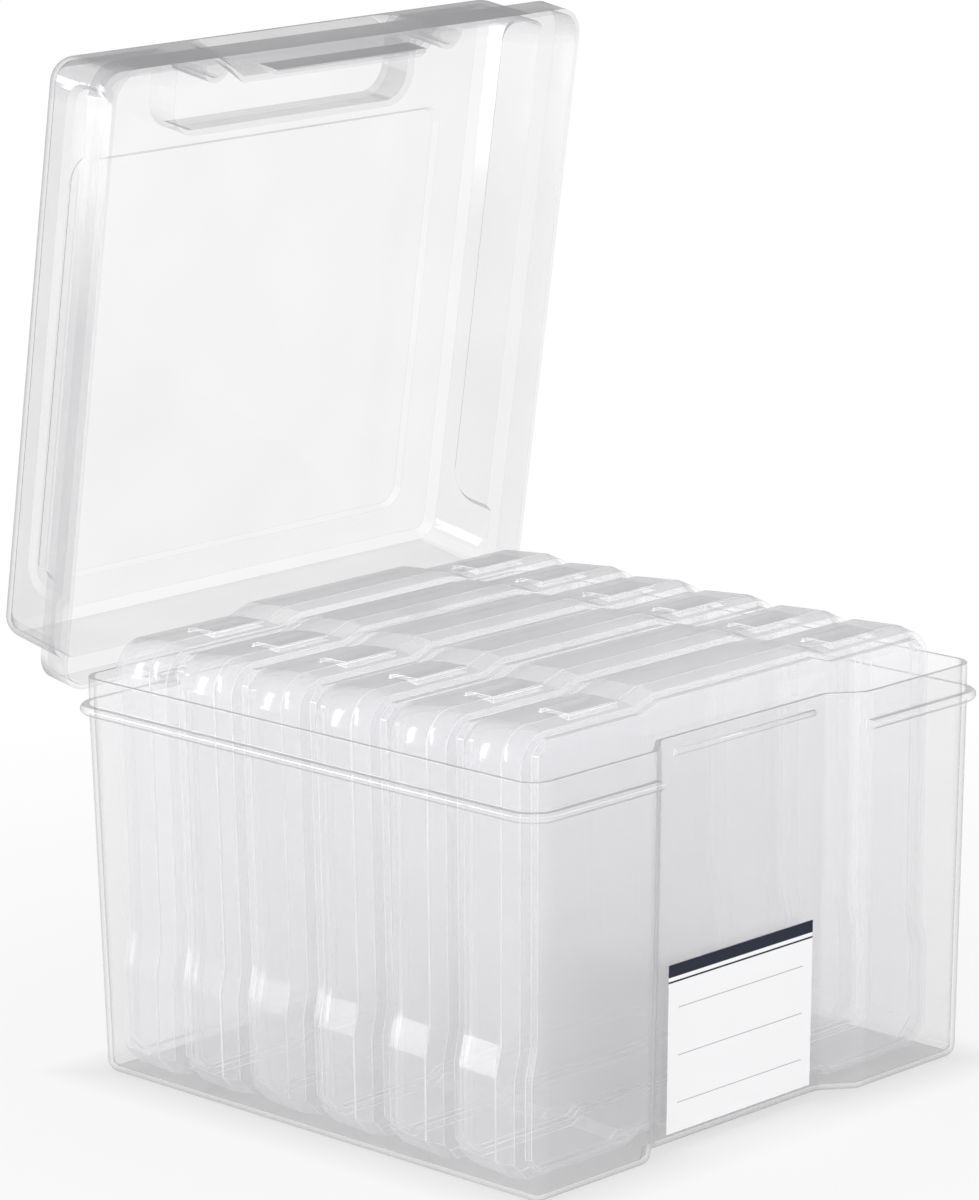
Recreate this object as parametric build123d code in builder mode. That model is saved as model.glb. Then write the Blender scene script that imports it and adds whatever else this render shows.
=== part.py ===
from build123d import *
from math import atan, copysign, cos, degrees, radians, sin
import os

os.makedirs("parts", exist_ok=True)

# A clear photo keeper: a tub with a deep hinged lid, and slim photo boxes standing in it on edge.
# Millimetres, +Z up. The origin is the centre of the tub's underside, and the tub's front faces -Y.

# ---- Tub ----
TUB_WIDTH = 208.0  # outside of the straight neck, along X
TUB_DEPTH = 204.0  # outside of the straight neck, along Y
TUB_HEIGHT = 134.0
TUB_WALL = 1.6
TUB_FLOOR = 2.0
TUB_TAPER = 3.1  # how far each side draws in from the neck down to the base
TUB_CORNER = 8.0
TUB_FOOT_ROUND = 4.5
TUB_FLOOR_BEVEL = 1.6  # inside, where it keeps the foot as thick as the wall
NECK_HEIGHT = 12.0  # straight collar above the tapered body
FLANGE_HEIGHT = 3.0
FLANGE_PROUD = 3.0
FLANGE_BEVEL = 0.9

# ---- Recess down the front of the tub ----
RECESS_MOUTH = 98.8  # width at the front face
RECESS_BACK = 78.0  # width at its back wall
RECESS_DEPTH = 8.3
RECESS_MOUTH_ROUND = 8.0
RECESS_BACK_ROUND = 3.0
CATCH_BEAD = 1.1  # radius of the bead that the lid's tongue snaps over
CATCH_DROP = 5.0  # from the rim down to the bead
CATCH_WIDTH = 66.0

# ---- Label card in the recess ----
LABEL_WIDTH = 68.0
LABEL_HEIGHT = 55.6
LABEL_RISE = 4.6  # from the ground to its lower edge
LABEL_THICK = 0.3
LABEL_GAP = 0.05

# ---- Lid, measured closed and upwards from its rim ----
LID_GAP = 0.6  # between the lid's band and the tub's neck
LID_SEAT_GAP = 0.3  # between the lid's rim and the tub's flange
LID_WALL = 1.6
LID_BAND_HEIGHT = 11.4
LID_HEIGHT = 39.6
LID_STEP_SIDE = 5.0  # how far the walls stand in from the band
LID_STEP_FRONT = 4.2
LID_STEP_BACK = 5.6
LID_DRAFT = 1.5  # degrees
LID_CORNER = 9.0
LID_ROOF_ROUND = 6.5
LID_ROOF_BEVEL = 2.9  # inside, where it keeps the roof's edge as thick as the wall
LID_OPEN = 80.6  # angle from closed at which the clips land on their stops

# ---- Roof panel, finger pocket, front scoop and side panels of the lid ----
ROOF_PANEL_RISE = 2.0
ROOF_PANEL_SIDE = 17.0  # border left beside the panel
ROOF_PANEL_BACK = 14.0
ROOF_PANEL_FRONT = 36.0
ROOF_PANEL_CORNER = 9.0
POCKET_WIDTH = 106.0
POCKET_LENGTH = 26.0
POCKET_DEPTH = 12.0
POCKET_CORNER = 9.0
POCKET_INSET = 3.0  # from the front wall's outside to the pocket
SCOOP_DEPTH = 7.4  # of the ramped scoop at the band, running out at the roof
SCOOP_FADE = 0.6
SIDE_PANEL_FRONT = 93.0
SIDE_PANEL_BACK = 75.0
SIDE_PANEL_TOP = 25.0
SIDE_PANEL_SINK = 2.4
SIDE_PANEL_CORNER = 7.0
FLUTE_RADIUS = 6.0
TONGUE_WIDTH = 68.0
TONGUE_REACH = 9.0
TONGUE_GAP = 0.3  # between the tongue and the catch bead

# ---- Snap hinges behind the rear flange ----
HINGE_BACK = 5.2  # from the neck's rear face to the hinge axis
HINGE_DROP = 0.9  # from the flange's top down to the hinge axis
HINGE_SPACING = 120.0
PIN_RADIUS = 1.3
CLIP_RADIUS = 2.9
CLIP_WIDTH = 8.0
CLIP_MOUTH = 2.0
CLIP_ARM = 8.0
CLIP_ARM_OFFSET = 1.2  # from the axis to the face that lands on the stop
PIN_GAP = 0.25
HINGE_GAP = 0.35
EAR_RADIUS = 2.6
EAR_WIDTH = 3.0
STOP_WEB = 1.6

# ---- Photo boxes ----
BOX_GAPS = (0.5, 0.4, 1.4, 0.8, 0.8, 1.1)  # at the floor, in front of each box
BOX_LEANS = (-0.9, -0.2, 0.7, 1.1, 1.3, 1.1)  # degrees that each box leans back as it stands in the tub
BOX_REAR_GAP = 3.7  # behind the last box at the floor, where the closed lid's rear wall needs it
BOX_END_GAP = 0.4  # between the box's foot and the tub's side at the floor
BOX_SHIFT = 0.3  # the boxes stand this far right of the middle
BOX_FLOOR_GAP = 0.3
BOX_WALL = 1.2
BOX_HEIGHT = 146.3
BOX_JOG_STEP = 2.4  # how far each end stands in above the foot
BOX_JOG_LOW = 33.7
BOX_JOG_HIGH = 43.7
BOX_CORNER = 11.0
BOX_BEVEL = 6.5  # across the foot's corners, and every corner inside
BOX_CROWN = 2.8  # how far the middle of the top stands above its ends
BOX_CROWN_INNER = 72.0
BOX_CROWN_OUTER = 90.0
BOX_ARCH = 2.4  # how far the middle of the underside stands off the floor
BOX_ARCH_INNER = 88.0
BOX_ARCH_OUTER = 96.0
BOX_DRAFT = 0.9
BOX_LEDGE = 2.7  # how far each face panel stands proud of its border
BOX_COVER_DEPTH = 9.7
BOX_SEAM = 0.2
BOX_BORDER_SIDE = 5.8
BOX_BORDER_TOP = 3.0
BOX_BORDER_FOOT = 3.4

# ---- Snap tabs on the photo boxes' shoulders, from the cover over the seam to the base ----
TAB_START = 50.0  # from the middle of the box to the tab
TAB_LENGTH = 22.0
TAB_ROOT = 4.6  # on the cover
TAB_LAP = 6.0  # over the base
TAB_PROUD = 1.5
TAB_SEAT = 0.9  # into the cover's wall
TAB_GAP = 0.3  # above the base
TAB_BEVEL = 0.6
RIDGE_FOOT = 1.8  # the ridge on the base that the tab snaps behind
RIDGE_TOP = 0.8
RIDGE_PROUD = 1.0
RIDGE_GAP = 0.4

# ---- Levels and faces that follow from these ----
body_top = TUB_HEIGHT - NECK_HEIGHT
flange_top = body_top + FLANGE_HEIGHT
neck_back = TUB_DEPTH / 2
neck_front = -TUB_DEPTH / 2
taper_slope = TUB_TAPER / body_top
recess_wall = neck_front + RECESS_DEPTH  # outside of the recess's back wall at the neck

lid_rim = flange_top + LID_SEAT_GAP
lid_width = TUB_WIDTH + 2 * (LID_GAP + LID_WALL)
lid_depth = TUB_DEPTH + 2 * (LID_GAP + LID_WALL)
lid_band_corner = TUB_CORNER + LID_GAP + LID_WALL
lid_front = -lid_depth / 2 + LID_STEP_FRONT
lid_back = lid_depth / 2 - LID_STEP_BACK
lid_half = lid_width / 2 - LID_STEP_SIDE
lid_shelf = lid_rim + LID_BAND_HEIGHT
lid_roof = lid_rim + LID_HEIGHT

hinge_y = neck_back + HINGE_BACK
hinge_z = flange_top - HINGE_DROP
hinge_axis = Axis((0, hinge_y, hinge_z), (1, 0, 0))
clip_centres = (-HINGE_SPACING / 2, HINGE_SPACING / 2)

floor_front = recess_wall + TUB_TAPER + TUB_WALL
floor_back = neck_back - TUB_TAPER - TUB_WALL
box_thick = (floor_back - BOX_REAR_GAP - floor_front - sum(BOX_GAPS)) / len(BOX_GAPS)
box_foot_half = TUB_WIDTH / 2 - TUB_TAPER - TUB_WALL - BOX_END_GAP
box_half_width = box_foot_half - BOX_JOG_STEP


def corners_at(sketch, x, y):
    """The sketch's corners at plus and minus x, at height y."""
    return sketch.vertices().filter_by(lambda v: abs(abs(v.X) - x) < 0.01 and abs(v.Y - y) < 0.01)


# ======================== Tub ========================
def tub_plan(wall):
    """Plan of the tub's neck, drawn in by a wall, with the recess in its front."""
    side = TUB_WIDTH / 2
    with BuildSketch() as plan:
        with BuildLine():
            Polyline(
                (0, recess_wall),
                (RECESS_BACK / 2, recess_wall),
                (RECESS_MOUTH / 2, neck_front),
                (side, neck_front),
                (side, neck_back),
                (0, neck_back),
            )
            mirror(about=Plane.YZ)
        make_face()
        fillet(corners_at(plan, side, neck_front) + corners_at(plan, side, neck_back), TUB_CORNER)
        fillet(corners_at(plan, RECESS_MOUTH / 2, neck_front), RECESS_MOUTH_ROUND)
        fillet(corners_at(plan, RECESS_BACK / 2, recess_wall), RECESS_BACK_ROUND)
        if wall:
            offset(amount=-wall, mode=Mode.REPLACE)
    return plan.sketch


def tub_block(floor, wall):
    """The tub's outside, or the hollow left when a floor and a wall are taken off it."""
    with BuildPart() as block:
        # the body narrows downwards, so it is drawn foot up and turned over
        with BuildSketch(Plane.XY.offset(-body_top)):
            add(tub_plan(wall))
        extrude(amount=body_top - floor, taper=degrees(atan(taper_slope)))
        foot = block.faces().sort_by(Axis.Z)[-1].edges()
        if wall:
            chamfer(foot, TUB_FLOOR_BEVEL)
        else:
            fillet(foot, TUB_FOOT_ROUND)
        mirror(about=Plane.XY, mode=Mode.REPLACE)
        with BuildSketch(Plane.XY.offset(body_top)):
            add(tub_plan(wall))
        extrude(amount=NECK_HEIGHT)
    return block.part


# Rounded flange that the lid sits on; it stops at the recess and leaves room for the hinge clips
with BuildPart() as flange:
    with BuildSketch(Plane.XY.offset(body_top)):
        RectangleRounded(
            TUB_WIDTH + 2 * FLANGE_PROUD,
            TUB_DEPTH + 2 * FLANGE_PROUD,
            TUB_CORNER + FLANGE_PROUD,
        )
    extrude(amount=FLANGE_HEIGHT)
    chamfer(flange.edges().filter_by(Axis.Z, reverse=True), FLANGE_BEVEL)
    with BuildSketch(Plane.XY.offset(body_top)):
        RectangleRounded(TUB_WIDTH - TUB_WALL, TUB_DEPTH - TUB_WALL, TUB_CORNER)
        with Locations((0, neck_front)):
            Rectangle(RECESS_MOUTH, 4 * FLANGE_PROUD)
        with Locations(*[(x, neck_back + FLANGE_PROUD) for x in clip_centres]):
            Rectangle(CLIP_WIDTH + 2 * HINGE_GAP, 2 * (FLANGE_PROUD - HINGE_GAP))
    extrude(amount=FLANGE_HEIGHT, mode=Mode.SUBTRACT)

with BuildPart() as tub:
    add(tub_block(0, 0))
    add(flange.part)
    # bead across the recess
    with BuildSketch(Plane.YZ.offset(-CATCH_WIDTH / 2)):
        with Locations((recess_wall, TUB_HEIGHT - CATCH_DROP)):
            Circle(CATCH_BEAD)
    extrude(amount=CATCH_WIDTH)
    # hinge brackets: an ear each side of the clip, the pin between them and the web it lands on
    ear_shift = (CLIP_WIDTH + EAR_WIDTH) / 2 + HINGE_GAP
    web_front = CLIP_RADIUS + HINGE_GAP
    web_top = (CLIP_ARM_OFFSET - HINGE_GAP + web_front * cos(radians(LID_OPEN))) / sin(radians(LID_OPEN))
    for centre in clip_centres:
        for x in (centre - ear_shift, centre + ear_shift):
            with BuildSketch(Plane.YZ.offset(x - EAR_WIDTH / 2)):
                with Locations((hinge_y, hinge_z)):
                    Circle(EAR_RADIUS)
                with BuildLine():
                    Polyline(
                        (neck_back, body_top),
                        (neck_back, flange_top),
                        (hinge_y, flange_top),
                        (hinge_y + web_front, hinge_z + web_top),
                        (hinge_y + web_front + STOP_WEB, hinge_z + web_top),
                        (hinge_y + web_front + STOP_WEB, body_top),
                        close=True,
                    )
                make_face()
            extrude(amount=EAR_WIDTH)
        with BuildSketch(Plane.YZ.offset(centre - ear_shift)):
            with Locations((hinge_y, hinge_z)):
                Circle(PIN_RADIUS)
            with Locations((hinge_y + web_front, body_top)):
                Rectangle(STOP_WEB, hinge_z + web_top - body_top, align=(Align.MIN, Align.MIN))
        extrude(amount=2 * ear_shift)
    add(tub_block(TUB_FLOOR, TUB_WALL), mode=Mode.SUBTRACT)

tub.part.label = "tub"
export_step(tub.part, "parts/tub.step")

# Paper card that lies flat on the recess's drafted back wall
card_plane = Plane(
    origin=(0, recess_wall + TUB_TAPER, 0),
    x_dir=(1, 0, 0),
    z_dir=(0, -1, -taper_slope),
)
with BuildPart() as label_card:
    with BuildSketch(card_plane.offset(LABEL_GAP)):
        with Locations((0, LABEL_RISE)):
            Rectangle(LABEL_WIDTH, LABEL_HEIGHT, align=(Align.CENTER, Align.MIN))
    extrude(amount=LABEL_THICK)

label_card.part.label = "label_card"
export_step(label_card.part, "parts/label_card.step")


# ======================== Lid ========================
def scoop(grown):
    """Ramped scoop in the lid's front wall, deepest at the band and running out below the roof."""
    low = lid_shelf - grown
    with BuildPart() as ramp:
        for level, depth in ((low, SCOOP_DEPTH), (lid_roof - LID_ROOF_ROUND, SCOOP_FADE)):
            with BuildSketch(Plane.XY.offset(level)):
                with BuildLine():
                    Polyline(
                        (0, lid_front - LID_STEP_FRONT),
                        (RECESS_MOUTH / 2 + grown, lid_front - LID_STEP_FRONT),
                        (RECESS_MOUTH / 2 + grown, lid_front),
                        (RECESS_BACK / 2 + grown, lid_front + depth + grown),
                        (0, lid_front + depth + grown),
                    )
                    mirror(about=Plane.YZ)
                make_face()
        loft(ruled=True)
    return ramp.part


def side_panels(grown):
    """Bevelled blocks that sink a panel into each side wall of the lid, open towards the band."""
    top = lid_rim + SIDE_PANEL_TOP + grown
    with BuildPart() as blocks:
        with BuildSketch(Plane.YZ.offset(lid_half - SIDE_PANEL_SINK - grown)):
            with Locations(((SIDE_PANEL_BACK - SIDE_PANEL_FRONT) / 2, lid_shelf)):
                RectangleRounded(
                    SIDE_PANEL_FRONT + SIDE_PANEL_BACK + 2 * grown,
                    2 * (top - lid_shelf),
                    SIDE_PANEL_CORNER + grown,
                )
        extrude(amount=SIDE_PANEL_SINK + 1, taper=-45)
        split(bisect_by=Plane.XY.offset(lid_shelf - grown), keep=Keep.TOP)
        mirror(about=Plane.YZ)
    return blocks.part


def pocket(grown):
    """Finger pocket sunk into the roof behind the front wall."""
    length = POCKET_LENGTH + 2 * grown
    with BuildPart() as block:
        with BuildSketch(Plane.XY.offset(lid_roof - POCKET_DEPTH - grown)):
            with Locations((0, lid_front + POCKET_INSET - 2 * grown)):
                Rectangle(POCKET_WIDTH + 2 * grown, length + grown, align=(Align.CENTER, Align.MIN))
        extrude(amount=POCKET_DEPTH + grown)
        rear = block.edges().filter_by(Axis.Z).group_by(Axis.Y)[-1]
        fillet(rear, POCKET_CORNER + grown)
    return block.part


def lid_block(wall):
    """The closed lid's outside, or the hollow left when a wall is taken off it."""
    with BuildPart() as block:
        with BuildSketch(Plane.XY.offset(lid_shelf - wall)):
            with Locations((0, (lid_front + lid_back) / 2)):
                RectangleRounded(
                    2 * (lid_half - wall),
                    lid_back - lid_front - 2 * wall,
                    LID_CORNER - wall,
                )
        extrude(amount=lid_roof - lid_shelf, taper=LID_DRAFT)
        roof_edges = block.faces().sort_by(Axis.Z)[-1].edges()
        if wall:
            chamfer(roof_edges, LID_ROOF_BEVEL)
        else:
            fillet(roof_edges, LID_ROOF_ROUND)
        with BuildSketch(Plane.XY.offset(lid_rim)):
            RectangleRounded(lid_width - 2 * wall, lid_depth - 2 * wall, lid_band_corner - wall)
        extrude(amount=LID_BAND_HEIGHT - wall)
        with BuildSketch(Plane.XY.offset(lid_roof - wall)):
            front = lid_front + ROOF_PANEL_FRONT + wall
            back = lid_back - ROOF_PANEL_BACK - wall
            with Locations((0, (front + back) / 2)):
                RectangleRounded(
                    2 * (lid_half - ROOF_PANEL_SIDE - wall),
                    back - front,
                    ROOF_PANEL_CORNER - wall,
                )
        extrude(amount=ROOF_PANEL_RISE, taper=35)
        add(scoop(wall), mode=Mode.SUBTRACT)
        add(side_panels(wall), mode=Mode.SUBTRACT)
        add(pocket(wall), mode=Mode.SUBTRACT)
    return block.part


with BuildPart() as lid:
    add(lid_block(0))
    add(lid_block(LID_WALL), mode=Mode.SUBTRACT)
    # half-round sleeves inside the front wall, below the ends of the pocket
    with BuildSketch(Plane.XY.offset(lid_shelf - LID_WALL)):
        with Locations((-POCKET_WIDTH / 2, lid_front + LID_WALL), (POCKET_WIDTH / 2, lid_front + LID_WALL)):
            Circle(FLUTE_RADIUS)
            Circle(FLUTE_RADIUS - LID_WALL, mode=Mode.SUBTRACT)
        with Locations((0, lid_front + LID_WALL / 2)):
            Rectangle(lid_width, FLUTE_RADIUS * 2, align=(Align.CENTER, Align.MAX), mode=Mode.SUBTRACT)
    extrude(amount=lid_roof - POCKET_DEPTH - lid_shelf)
    # tongue that hangs behind the band and snaps over the tub's bead
    with BuildSketch(Plane.XY.offset(lid_shelf - LID_WALL / 2)):
        with Locations((0, recess_wall - CATCH_BEAD - TONGUE_GAP)):
            Rectangle(TONGUE_WIDTH, LID_WALL, align=(Align.CENTER, Align.MAX))
    extrude(amount=-TONGUE_REACH)
    # clips that snap down over the tub's hinge pins
    for centre in clip_centres:
        with BuildSketch(Plane.YZ.offset(centre - CLIP_WIDTH / 2)):
            with Locations((hinge_y, hinge_z)):
                Circle(CLIP_RADIUS)
            with Locations((hinge_y - CLIP_ARM_OFFSET, hinge_z)):
                Rectangle(
                    lid_depth / 2 - LID_WALL / 2 - hinge_y + CLIP_ARM_OFFSET,
                    CLIP_ARM,
                    align=(Align.MAX, Align.MIN),
                )
            with Locations((hinge_y, hinge_z)):
                Circle(PIN_RADIUS + PIN_GAP, mode=Mode.SUBTRACT)
                Rectangle(CLIP_MOUTH, CLIP_RADIUS, align=(Align.CENTER, Align.MAX), mode=Mode.SUBTRACT)
        extrude(amount=CLIP_WIDTH)

# the lid is modelled closed and stands open on its hinge
open_lid = lid.part.rotate(hinge_axis, -LID_OPEN)
open_lid.label = "lid"
export_step(open_lid, "parts/lid.step")


# ======================== Photo boxes ========================
def box_plan(side, top, foot, rounded=False):
    """Outline of a photo box seen face on, drawn in at its sides, top and foot; the floor is at 0."""
    bevel = BOX_BEVEL - side / 3
    with BuildSketch() as plan:
        with BuildLine():
            Polyline(
                (0, BOX_ARCH + foot),
                (BOX_ARCH_INNER / 2, BOX_ARCH + foot),
                (BOX_ARCH_OUTER / 2, foot),
                (box_foot_half - side, foot),
                (box_foot_half - side, BOX_JOG_LOW),
                (box_half_width - side, BOX_JOG_HIGH),
                (box_half_width - side, BOX_HEIGHT - BOX_CROWN - top),
                (BOX_CROWN_OUTER / 2, BOX_HEIGHT - BOX_CROWN - top),
                (BOX_CROWN_INNER / 2, BOX_HEIGHT - top),
                (0, BOX_HEIGHT - top),
            )
            mirror(about=Plane.YZ)
        make_face()
        chamfer(corners_at(plan, box_foot_half - side, foot), bevel)
        top_corners = corners_at(plan, box_half_width - side, BOX_HEIGHT - BOX_CROWN - top)
        if rounded:
            fillet(top_corners, BOX_CORNER)
        else:
            chamfer(top_corners, bevel)
    return plan.sketch


def box_half(seam, ledge, face):
    """Drafted walls from the seam to a ledge, and a panel standing proud of it; depths run from the front."""
    inside = copysign(BOX_WALL, seam - ledge)
    with BuildPart() as half:
        for drawn_in, step, mode in ((0, 0, Mode.ADD), (BOX_WALL, inside, Mode.SUBTRACT)):
            outside = mode == Mode.ADD
            drafted = drawn_in + BOX_DRAFT
            with BuildSketch(Plane.XZ.offset(-seam)):
                add(box_plan(drawn_in, drawn_in, drawn_in, rounded=outside))
            with BuildSketch(Plane.XZ.offset(-ledge - step)):
                add(box_plan(drafted, drafted, drafted, rounded=outside))
            loft(ruled=True, mode=mode)
            with BuildSketch(Plane.XZ.offset(-ledge - step)):
                add(
                    box_plan(
                        BOX_BORDER_SIDE + drawn_in,
                        BOX_BORDER_TOP + drawn_in,
                        BOX_BORDER_FOOT + drawn_in,
                    )
                )
            extrude(amount=ledge - face, mode=mode)
    return half.part


def shoulder_strip(*profile):
    """A strip along each shoulder of a photo box, from its profile of depths and heights above the shoulder."""
    shoulder = BOX_HEIGHT - BOX_CROWN
    with BuildPart() as strip:
        with BuildSketch(Plane.YZ.offset(TAB_START)):
            with BuildLine():
                Polyline(*[(depth, shoulder + height) for depth, height in profile], close=True)
            make_face()
        extrude(amount=TAB_LENGTH)
        mirror(about=Plane.YZ)
    return strip.part


cover_seam = BOX_COVER_DEPTH - BOX_SEAM / 2
base_seam = BOX_COVER_DEPTH + BOX_SEAM / 2
tab_end = base_seam + TAB_LAP
ridge_middle = tab_end + RIDGE_GAP + RIDGE_FOOT / 2

with BuildPart() as cover_half:
    add(box_half(cover_seam, BOX_LEDGE, 0))
    add(
        shoulder_strip(
            (cover_seam - TAB_ROOT, -TAB_SEAT),
            (cover_seam, -TAB_SEAT),
            (cover_seam, TAB_GAP),
            (tab_end, TAB_GAP),
            (tab_end, TAB_PROUD - TAB_BEVEL),
            (tab_end - TAB_BEVEL, TAB_PROUD),
            (cover_seam - TAB_ROOT + TAB_BEVEL, TAB_PROUD),
            (cover_seam - TAB_ROOT, TAB_PROUD - TAB_BEVEL),
        )
    )

with BuildPart() as base_half:
    add(box_half(base_seam, box_thick - BOX_LEDGE, box_thick))
    add(
        shoulder_strip(
            (ridge_middle - RIDGE_FOOT / 2, -TAB_SEAT),
            (ridge_middle + RIDGE_FOOT / 2, -TAB_SEAT),
            (ridge_middle + RIDGE_TOP / 2, RIDGE_PROUD),
            (ridge_middle - RIDGE_TOP / 2, RIDGE_PROUD),
        )
    )

box_front = floor_front
for number, (gap, lean) in enumerate(zip(BOX_GAPS, BOX_LEANS), start=1):
    box_front += gap
    # a leaning box stands on its lower edge on the side it leans to
    edge = box_thick if lean > 0 else 0
    stand = Location((BOX_SHIFT, box_front + edge, TUB_FLOOR + BOX_FLOOR_GAP), (-lean, 0, 0))
    place = stand * Location((0, -edge, 0))
    for name, half in (("case_cover", cover_half.part), ("case_base", base_half.part)):
        piece = half.moved(place)
        piece.label = f"{name}_{number}"
        export_step(piece, f"parts/{piece.label}.step")
    box_front += box_thick
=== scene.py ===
from math import cos, radians, sin

import bpy
from mathutils import Matrix, Vector


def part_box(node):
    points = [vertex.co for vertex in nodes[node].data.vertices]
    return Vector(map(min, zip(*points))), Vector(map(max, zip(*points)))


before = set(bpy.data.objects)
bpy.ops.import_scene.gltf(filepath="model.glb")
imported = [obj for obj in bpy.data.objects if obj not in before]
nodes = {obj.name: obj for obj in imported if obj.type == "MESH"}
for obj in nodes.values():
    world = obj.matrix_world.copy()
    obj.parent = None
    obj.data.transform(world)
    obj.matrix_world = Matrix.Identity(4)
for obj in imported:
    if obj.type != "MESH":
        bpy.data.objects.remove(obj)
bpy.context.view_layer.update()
scene = bpy.context.scene

# A clear photo keeper case: tub, hinged lid and six photo boxes. Metres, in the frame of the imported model.

BOX_COUNT = 6
BOX_EDGE_ROUND = 0.0005  # on the moulded edges of the photo boxes
SHELL_EDGE_ROUND = 0.0007  # and of the tub and the lid
MIRROR_SHARE = 0.04  # of light that falls square on a wall
GLANCING_SHARE = 0.3  # more of it where the wall is seen edge on
FLOW_DEPTH = 0.0004  # of the melt flow marks
# above this height the lid's wall takes the painted side shade and the full painted edge shade
LID_TOP = 0.322  # height at which the standing lid's front wall starts
BACKLIT_SHARE = 0.2  # of the scattered light, it goes on through the wall
SHADE_KEPT = 0.95  # share of light that passes a face on its way to other surfaces
LEAST_SQUARE = 0.1  # a wall never counts as seen more slantwise than this
FLOW_SCALE = 24.0  # of the melt flow marks, a few centimetres long
UNEVEN_SCALE = 60.0  # of the changes along a rounded edge
EDGE_GLOSS_SHARE = 0.12
EDGE_ROUGHNESS = 0.15
WHITE = (1.0, 1.0, 1.0, 1.0)

# ---- Print on the label card ----
BAR_HEIGHT = 0.0040
RULE_DROP = 0.0053  # from the card's top to the rule
RULE_THICK = 0.0006
CARD_LINES = (0.0095, 0.0252, 0.0410)  # from the card's foot up to each line
LINE_THICK = 0.0003
LINE_MARGIN = 0.0045
INK_EDGE = 0.00005
PAPER_ROUGHNESS = 0.5
PAPER_SPECULAR = 0.15
FIBRE_SCALE = 2500.0
FIBRE_DEPTH = 0.00002

# ---- Floor and light ----
FLOOR_REACH = 6.0
FLOOR_DROP = 0.0002  # below the tub's foot
FLOOR_GREY = 0.86
# painted shade: the floor's glow is lowered under and just around the tub, so the floor is darker there
UNDER_TUB = (0.092, 0.118)  # from where the floor's glow is low to where it is full
UNDER_GLOW = (0.45, 0.84)
FAR_FLOOR = (0.15, 0.5)  # distances between which the last of the glow comes in
FAR_GLOW = 0.16
SOFT_LIGHT = 0.38  # the world's light on the object

# ---- Camera, fitted to the photograph ----
PHOTO_WIDTH = 979
PHOTO_HEIGHT = 1200
FOCAL_PX = 5531.4
CENTRE_PX = 491.0  # where the line of sight meets the picture, across
CAMERA_PLACE = (-1.25285, -1.20557, 0.56575)
CAMERA_AZIMUTH = 45.71
CAMERA_DOWN = 13.23
CAMERA_ROLL = -0.64
SENSOR = 36.0


# ======================== Materials ========================
def node(tree, kind, inputs=None, **settings):
    """A new shader node, with its settings and the values or links of its inputs."""
    made = tree.nodes.new(kind)
    for name, value in settings.items():
        setattr(made, name, value)
    for name, value in (inputs or {}).items():
        if isinstance(value, bpy.types.NodeSocket):
            tree.links.new(value, made.inputs[name])
        else:
            made.inputs[name].default_value = value
    return made


def empty_material(name):
    material = bpy.data.materials.new(name)
    material.use_nodes = True
    material.node_tree.nodes.clear()
    return material, material.node_tree


def math(tree, operation, a, b=0.0):
    return node(tree, "ShaderNodeMath", {0: a, 1: b}, operation=operation).outputs[0]


def noise(tree, place, scale, detail=2.0, roughness=0.5):
    inputs = {"Vector": place, "Scale": scale, "Detail": detail, "Roughness": roughness}
    return node(tree, "ShaderNodeTexNoise", inputs).outputs["Fac"]


def ramp(tree, value, low, high, to_low=0.0, to_high=1.0):
    inputs = {0: value, 1: low, 2: high, 3: to_low, 4: to_high}
    return node(tree, "ShaderNodeMapRange", inputs, clamp=True).outputs[0]


def colour_mix(tree, factor, low, high):
    """low where the factor is 0, high where it is 1; each a colour or a socket."""
    low, high = ((*c, 1.0) if isinstance(c, tuple) else c for c in (low, high))
    return node(tree, "ShaderNodeMix", {0: factor, 6: low, 7: high}, data_type="RGBA").outputs[2]


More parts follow.
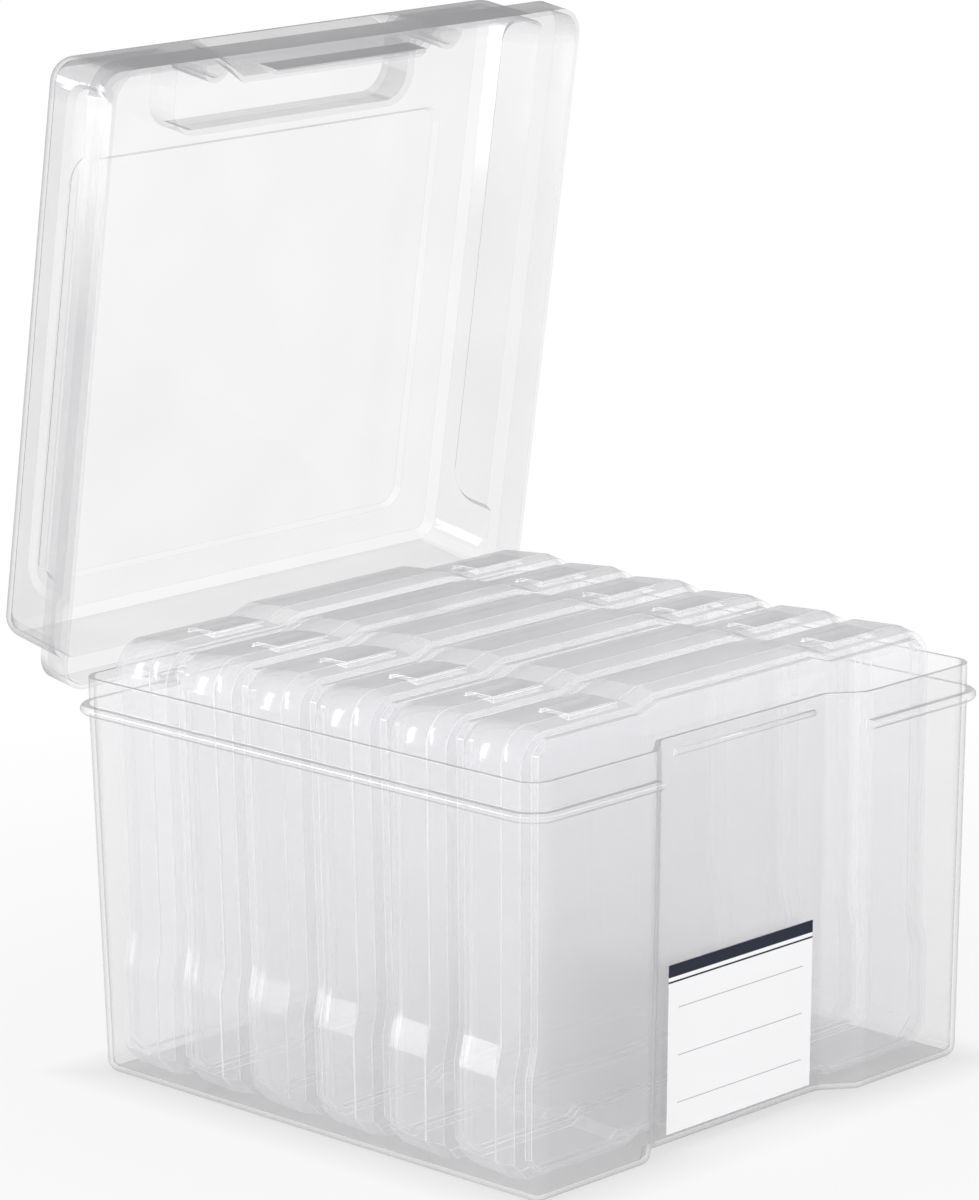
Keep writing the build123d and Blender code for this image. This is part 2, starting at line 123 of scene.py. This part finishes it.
def clear_plastic(name, haze, colour, painted_edge_shade, gloss_roughness, painted_side_shade=1.0, level_painted_shade=1.0):
    """Slightly milky clear plastic. haze is the share of light that one wall scatters, seen square on. The
    edge share is what a wall takes from the light let through where it is seen edge on: painted shade, a dark
    outline. The side factor is how many times as thick the left and right walls, and the one above LID_TOP,
    look: the solid's walls are all one thickness, so their extra milk is painted shade. The level factor is
    how much of the edge share the level walls below LID_TOP have."""
    material, tree = empty_material(name)
    rays = node(tree, "ShaderNodeLightPath")
    coordinates = node(tree, "ShaderNodeTexCoord")
    place = coordinates.outputs["Object"]
    height = node(tree, "ShaderNodeSeparateXYZ", {0: place}).outputs[2]
    normal = node(tree, "ShaderNodeSeparateXYZ", {0: coordinates.outputs["Normal"]})
    sideways = math(tree, "ABSOLUTE", normal.outputs[0])
    level = math(tree, "ABSOLUTE", normal.outputs[2])
    at_top = ramp(tree, height, LID_TOP - 0.003, LID_TOP + 0.003)

    # melt flow marks
    flow = noise(tree, place, FLOW_SCALE, 1.0, 0.55)
    bump = node(
        tree,
        "ShaderNodeBump",
        {"Strength": 0.5, "Distance": FLOW_DEPTH, "Height": flow},
    ).outputs[0]

    # the wall scatters more light, and lets less through, the more slantwise it is seen
    facing = node(tree, "ShaderNodeLayerWeight", {"Blend": 0.5}).outputs["Facing"]
    square = math(tree, "MAXIMUM", math(tree, "SUBTRACT", 1.0, facing), LEAST_SQUARE)
    thick = ramp(tree, flow, 0.3, 0.7, 0.8, 1.2)
    # painted shade: the left and right walls, and the wall above LID_TOP, take extra milk as if they were
    # thicker
    thick = math(tree, "MULTIPLY", thick, ramp(tree, sideways, 0.5, 0.9, 1.0, painted_side_shade))
    thick = math(tree, "MULTIPLY", thick, ramp(tree, at_top, 0.0, 1.0, 1.0, painted_side_shade))
    path = math(tree, "DIVIDE", thick, square)
    through = math(tree, "POWER", 1.0 - haze, path)
    milk_share = math(tree, "SUBTRACT", 1.0, through)
    # painted shade: seen edge on, the wall takes away more of the light let through, a dark outline
    lost = math(tree, "MAXIMUM", ramp(tree, level, 0.5, 0.9, 1.0, level_painted_shade), at_top)
    loss = math(tree, "MULTIPLY", math(tree, "POWER", facing, 3.0), painted_edge_shade)
    loss = math(tree, "MULTIPLY", loss, lost)
    kept = math(tree, "SUBTRACT", 1.0, loss)
    kept_colour = node(tree, "ShaderNodeCombineColor", {0: kept, 1: kept, 2: kept}).outputs[0]

    clear = node(tree, "ShaderNodeBsdfTransparent", {"Color": kept_colour}).outputs[0]
    milk = milky(tree, colour)
    body = node(tree, "ShaderNodeMixShader", {0: milk_share, 1: clear, 2: milk}).outputs[0]
    sheen = node(
        tree,
        "ShaderNodeBsdfGlossy",
        {"Color": WHITE, "Roughness": gloss_roughness, "Normal": bump},
    ).outputs[0]
    # Schlick's share of mirrored light
    glancing = node(tree, "ShaderNodeLayerWeight", {"Blend": 0.5, "Normal": bump}).outputs["Facing"]
    mirror = math(tree, "MULTIPLY", math(tree, "POWER", glancing, 5.0), GLANCING_SHARE)
    mirror = math(tree, "ADD", mirror, MIRROR_SHARE)
    seen = node(tree, "ShaderNodeMixShader", {0: mirror, 1: body, 2: sheen}).outputs[0]
    finish_wall(tree, rays, seen)
    return material


def milky(tree, colour):
    """Light scattered back and on by the milk in the plastic; colour is a colour or a socket."""
    colour = (*colour, 1.0) if isinstance(colour, tuple) else colour
    lit = node(tree, "ShaderNodeBsdfDiffuse", {"Color": colour}).outputs[0]
    backlit = node(tree, "ShaderNodeBsdfTranslucent", {"Color": colour}).outputs[0]
    return node(tree, "ShaderNodeMixShader", {0: BACKLIT_SHARE, 1: lit, 2: backlit}).outputs[0]


def finish_wall(tree, rays, seen):
    """The wall shows on the face that a line of sight enters. The face that it leaves by is clear, and light
    on its way to other surfaces only loses a little at each face."""
    leaving = node(tree, "ShaderNodeNewGeometry").outputs["Backfacing"]
    through = node(tree, "ShaderNodeBsdfTransparent", {"Color": WHITE}).outputs[0]
    veil = node(tree, "ShaderNodeBsdfTransparent", {"Color": (*[SHADE_KEPT] * 3, 1.0)}).outputs[0]
    wall = node(tree, "ShaderNodeMixShader", {0: leaving, 1: seen, 2: through}).outputs[0]
    passing = math(tree, "MAXIMUM", rays.outputs["Is Shadow Ray"], rays.outputs["Is Diffuse Ray"])
    surface = node(tree, "ShaderNodeMixShader", {0: passing, 1: wall, 2: veil}).outputs[0]
    node(tree, "ShaderNodeOutputMaterial", {"Surface": surface})


def painted_light_edge(name, share, colour, outline):
    """The rounded edges of the moulding, which gather light; their milky tone is painted light, a painted
    highlight where it is pale and painted shade where it is dark. The outline's colour, a painted dark
    outline, comes in where they are seen edge on."""
    material, tree = empty_material(name)
    rays = node(tree, "ShaderNodeLightPath")
    place = node(tree, "ShaderNodeTexCoord").outputs["Object"]
    uneven = noise(tree, place, UNEVEN_SCALE, 1.0, 0.5)
    uneven = ramp(tree, uneven, 0.35, 0.65, share * 0.6, share)
    clear = node(tree, "ShaderNodeBsdfTransparent", {"Color": WHITE}).outputs[0]
    facing = node(tree, "ShaderNodeLayerWeight", {"Blend": 0.5}).outputs["Facing"]
    # painted shade: the tone darkens to the outline's colour as the edge is seen edge on
    tone = colour_mix(tree, ramp(tree, facing, 0.3, 0.75), colour, outline)
    seen = node(tree, "ShaderNodeMixShader", {0: uneven, 1: clear, 2: milky(tree, tone)}).outputs[0]
    gloss = node(tree, "ShaderNodeBsdfGlossy", {"Color": WHITE, "Roughness": EDGE_ROUGHNESS}).outputs[0]
    seen = node(tree, "ShaderNodeMixShader", {0: EDGE_GLOSS_SHARE, 1: seen, 2: gloss}).outputs[0]
    finish_wall(tree, rays, seen)
    return material


def band(tree, value, low, high):
    """1 between low and high, 0 outside, with edges as sharp as ink on coated card."""
    above = ramp(tree, value, low - INK_EDGE, low + INK_EDGE)
    below = ramp(tree, value, high - INK_EDGE, high + INK_EDGE, 1.0, 0.0)
    return math(tree, "MULTIPLY", above, below)


def card(name, paper, ink, faint):
    """Coated card with a printed head bar, a thin rule under it and plain lines to write on."""
    (left, _, low), (right, _, top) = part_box("label_card")
    material, tree = empty_material(name)
    place = node(tree, "ShaderNodeTexCoord").outputs["Object"]
    across, _, height = node(tree, "ShaderNodeSeparateXYZ", {0: place}).outputs
    fibre = noise(tree, place, FIBRE_SCALE, 3.0, 0.6)
    tone = colour_mix(tree, fibre, tuple(c * 0.98 for c in paper), paper)

    lines = None
    for rise in CARD_LINES:
        line = band(tree, height, low + rise, low + rise + LINE_THICK)
        lines = line if lines is None else math(tree, "MAXIMUM", lines, line)
    lines = math(tree, "MULTIPLY", lines, band(tree, across, left + LINE_MARGIN, right - LINE_MARGIN))
    tone = colour_mix(tree, lines, tone, faint)
    rule = band(tree, height, top - RULE_DROP - RULE_THICK, top - RULE_DROP)
    bar = ramp(tree, height, top - BAR_HEIGHT - INK_EDGE, top - BAR_HEIGHT + INK_EDGE)
    printed = math(tree, "MAXIMUM", rule, bar)
    tone = colour_mix(tree, printed, tone, ink)

    fibres = {"Strength": 0.2, "Distance": FIBRE_DEPTH, "Height": fibre}
    bump = node(tree, "ShaderNodeBump", fibres).outputs[0]
    surface = node(
        tree,
        "ShaderNodeBsdfPrincipled",
        {
            "Base Color": tone,
            "Roughness": PAPER_ROUGHNESS,
            "Specular IOR Level": PAPER_SPECULAR,
            "Normal": bump,
        },
    ).outputs[0]
    node(tree, "ShaderNodeOutputMaterial", {"Surface": surface})
    return material


def dress(piece, *materials):
    piece.data.materials.clear()
    for material in materials:
        piece.data.materials.append(material)


# One milky plastic in three tones: the lid's dark grey milk is painted shade on its walls, and the boxes'
# milk, paler than the tub's, is painted light on the stack. The edge tones are painted too: painted shade on
# the lid's edges, painted highlights on the tub's and the boxes' edges.
lid_plastic = clear_plastic("lid_plastic", 0.08, (0.46, 0.455, 0.48), 0.95, 0.10, 2.2, 0.2)
lid_edge = painted_light_edge("lid_edge", 1.0, (0.26, 0.26, 0.27), (0.14, 0.14, 0.15))
tub_plastic = clear_plastic("tub_plastic", 0.13, (0.76, 0.755, 0.78), 0.9, 0.10)
tub_edge = painted_light_edge("tub_edge", 0.85, (0.94, 0.94, 0.96), (0.12, 0.12, 0.13))
box_plastic = clear_plastic("box_plastic", 0.15, (0.91, 0.905, 0.94), 0.3, 0.15)
box_edge = painted_light_edge("box_edge", 0.85, (0.92, 0.92, 0.93), (0.5, 0.5, 0.51))
card_paper = card("card_paper", (0.90, 0.90, 0.91), (0.016, 0.02, 0.035), (0.42, 0.43, 0.46))


def soften_edges(piece, width):
    """The small rounding that a moulded part has on every edge, over flat faces freed of their cuts."""
    weld = piece.modifiers.new("weld", "WELD")
    weld.merge_threshold = 0.00001
    flat = piece.modifiers.new("flat", "DECIMATE")
    flat.decimate_type = "DISSOLVE"
    flat.angle_limit = radians(0.6)
    edges = piece.modifiers.new("edges", "BEVEL")
    edges.width = width
    edges.segments = 2
    edges.limit_method = "ANGLE"
    edges.angle_limit = radians(28.0)
    edges.harden_normals = True
    edges.material = 1


dress(nodes["tub"], tub_plastic, tub_edge)
dress(nodes["lid"], lid_plastic, lid_edge)
dress(nodes["label_card"], card_paper)
for number in range(1, BOX_COUNT + 1):
    for half in (f"case_base_{number}", f"case_cover_{number}"):
        dress(nodes[half], box_plastic, box_edge)
        soften_edges(nodes[half], BOX_EDGE_ROUND)
        # only the tub, the lid and the card cast the shadow
        nodes[half].visible_shadow = False
        nodes[half].visible_diffuse = False
for shell in ("tub", "lid"):
    soften_edges(nodes[shell], SHELL_EDGE_ROUND)


# ======================== Floor, world and lights ========================
def floor_and_world():
    mesh = bpy.data.meshes.new("floor")
    corners = ((-1, -1), (1, -1), (1, 1), (-1, 1))
    points = [(x * FLOOR_REACH, y * FLOOR_REACH, -FLOOR_DROP) for x, y in corners]
    mesh.from_pydata(points, [], [(0, 1, 2, 3)])
    floor = bpy.data.objects.new("floor", mesh)
    scene.collection.objects.link(floor)
    material, tree = empty_material("floor_white")
    rays = node(tree, "ShaderNodeLightPath")
    lit = node(tree, "ShaderNodeBsdfDiffuse", {"Color": (*[FLOOR_GREY] * 3, 1.0)}).outputs[0]
    place = node(tree, "ShaderNodeTexCoord").outputs["Object"]
    away = node(tree, "ShaderNodeVectorMath", {0: place}, operation="LENGTH").outputs["Value"]
    across, along, _ = node(tree, "ShaderNodeSeparateXYZ", {0: place}).outputs
    beside = math(tree, "MAXIMUM", math(tree, "ABSOLUTE", across), math(tree, "ABSOLUTE", along))
    # painted shade: less glow, so a darker floor, under and just around the tub
    near = ramp(tree, beside, *UNDER_TUB, *UNDER_GLOW)
    share = math(tree, "ADD", near, ramp(tree, away, *FAR_FLOOR, 0.0, FAR_GLOW))
    glow = node(tree, "ShaderNodeEmission", {"Color": WHITE, "Strength": 1.0}).outputs[0]
    both = node(tree, "ShaderNodeMixShader", {0: share, 1: lit, 2: glow}).outputs[0]
    seen = math(tree, "MAXIMUM", rays.outputs["Is Camera Ray"], rays.outputs["Is Glossy Ray"])
    surface = node(tree, "ShaderNodeMixShader", {0: seen, 1: lit, 2: both}).outputs[0]
    node(tree, "ShaderNodeOutputMaterial", {"Surface": surface})
    mesh.materials.append(material)

    world = bpy.data.worlds.new("studio")
    scene.world = world
    world.use_nodes = True
    tree = world.node_tree
    tree.nodes.clear()
    rays = node(tree, "ShaderNodeLightPath")
    seen = math(tree, "MAXIMUM", rays.outputs["Is Camera Ray"], rays.outputs["Is Glossy Ray"])
    seen = math(tree, "MAXIMUM", seen, rays.outputs["Is Transmission Ray"])
    soft = node(tree, "ShaderNodeBackground", {"Color": WHITE, "Strength": SOFT_LIGHT}).outputs[0]
    white = node(tree, "ShaderNodeBackground", {"Color": WHITE, "Strength": 1.0}).outputs[0]
    surface = node(tree, "ShaderNodeMixShader", {0: seen, 1: soft, 2: white}).outputs[0]
    node(tree, "ShaderNodeOutputWorld", {"Surface": surface})


def softbox(name, place, target, width, height, power, glints_only=False):
    """A rectangular lamp. One for glints shows only in glossy surfaces. The others light the object and
    don't show in them."""
    light = bpy.data.lights.new(name, "AREA")
    light.shape = "RECTANGLE"
    light.size = width
    light.size_y = height
    light.energy = power
    lamp = bpy.data.objects.new(name, light)
    scene.collection.objects.link(lamp)
    direction = Vector(target) - Vector(place)
    lamp.rotation_euler = direction.to_track_quat("-Z", "Y").to_euler()
    lamp.location = place
    lamp.visible_camera = False
    lamp.visible_glossy = glints_only
    lamp.visible_diffuse = not glints_only
    lamp.visible_transmission = not glints_only


def camera():
    azimuth, down, roll = (radians(a) for a in (CAMERA_AZIMUTH, CAMERA_DOWN, CAMERA_ROLL))
    ahead = Vector((sin(azimuth) * cos(down), cos(azimuth) * cos(down), -sin(down)))
    level = Vector((cos(azimuth), -sin(azimuth), 0.0))
    upright = level.cross(ahead)
    right = level * cos(roll) + upright * sin(roll)
    up = upright * cos(roll) - level * sin(roll)
    data = bpy.data.cameras.new("camera")
    data.sensor_fit = "VERTICAL"
    data.sensor_height = SENSOR
    data.lens = SENSOR * FOCAL_PX / PHOTO_HEIGHT
    data.shift_x = (PHOTO_WIDTH / 2 - CENTRE_PX) / PHOTO_HEIGHT
    data.clip_start = 0.05
    data.clip_end = 30.0
    made = bpy.data.objects.new("camera", data)
    turn = Matrix((right, up, -ahead)).transposed().to_4x4()
    made.matrix_world = Matrix.Translation(CAMERA_PLACE) @ turn
    scene.collection.objects.link(made)
    scene.camera = made


floor_and_world()
softbox("key", (-1.7, -0.3, 0.5), (0.0, 0.0, 0.1), 1.7, 1.0, 27.0)
softbox("fill", (0.6, -1.8, 0.45), (0.0, 0.0, 0.1), 2.0, 0.9, 18.0)
softbox("left_glints", (-1.0, 0.98, 0.43), (-0.08, 0.73, 0.13), 0.32, 0.85, 7.5, True)
softbox("front_glints", (0.95, -1.0, 0.85), (0.0, -0.1, 0.14), 0.22, 0.5, 2.5, True)
camera()
scene.view_settings.view_transform = "Standard"
scene.cycles.transparent_max_bounces = 96
scene.cycles.max_bounces = 6
scene.cycles.diffuse_bounces = 2
scene.cycles.glossy_bounces = 2
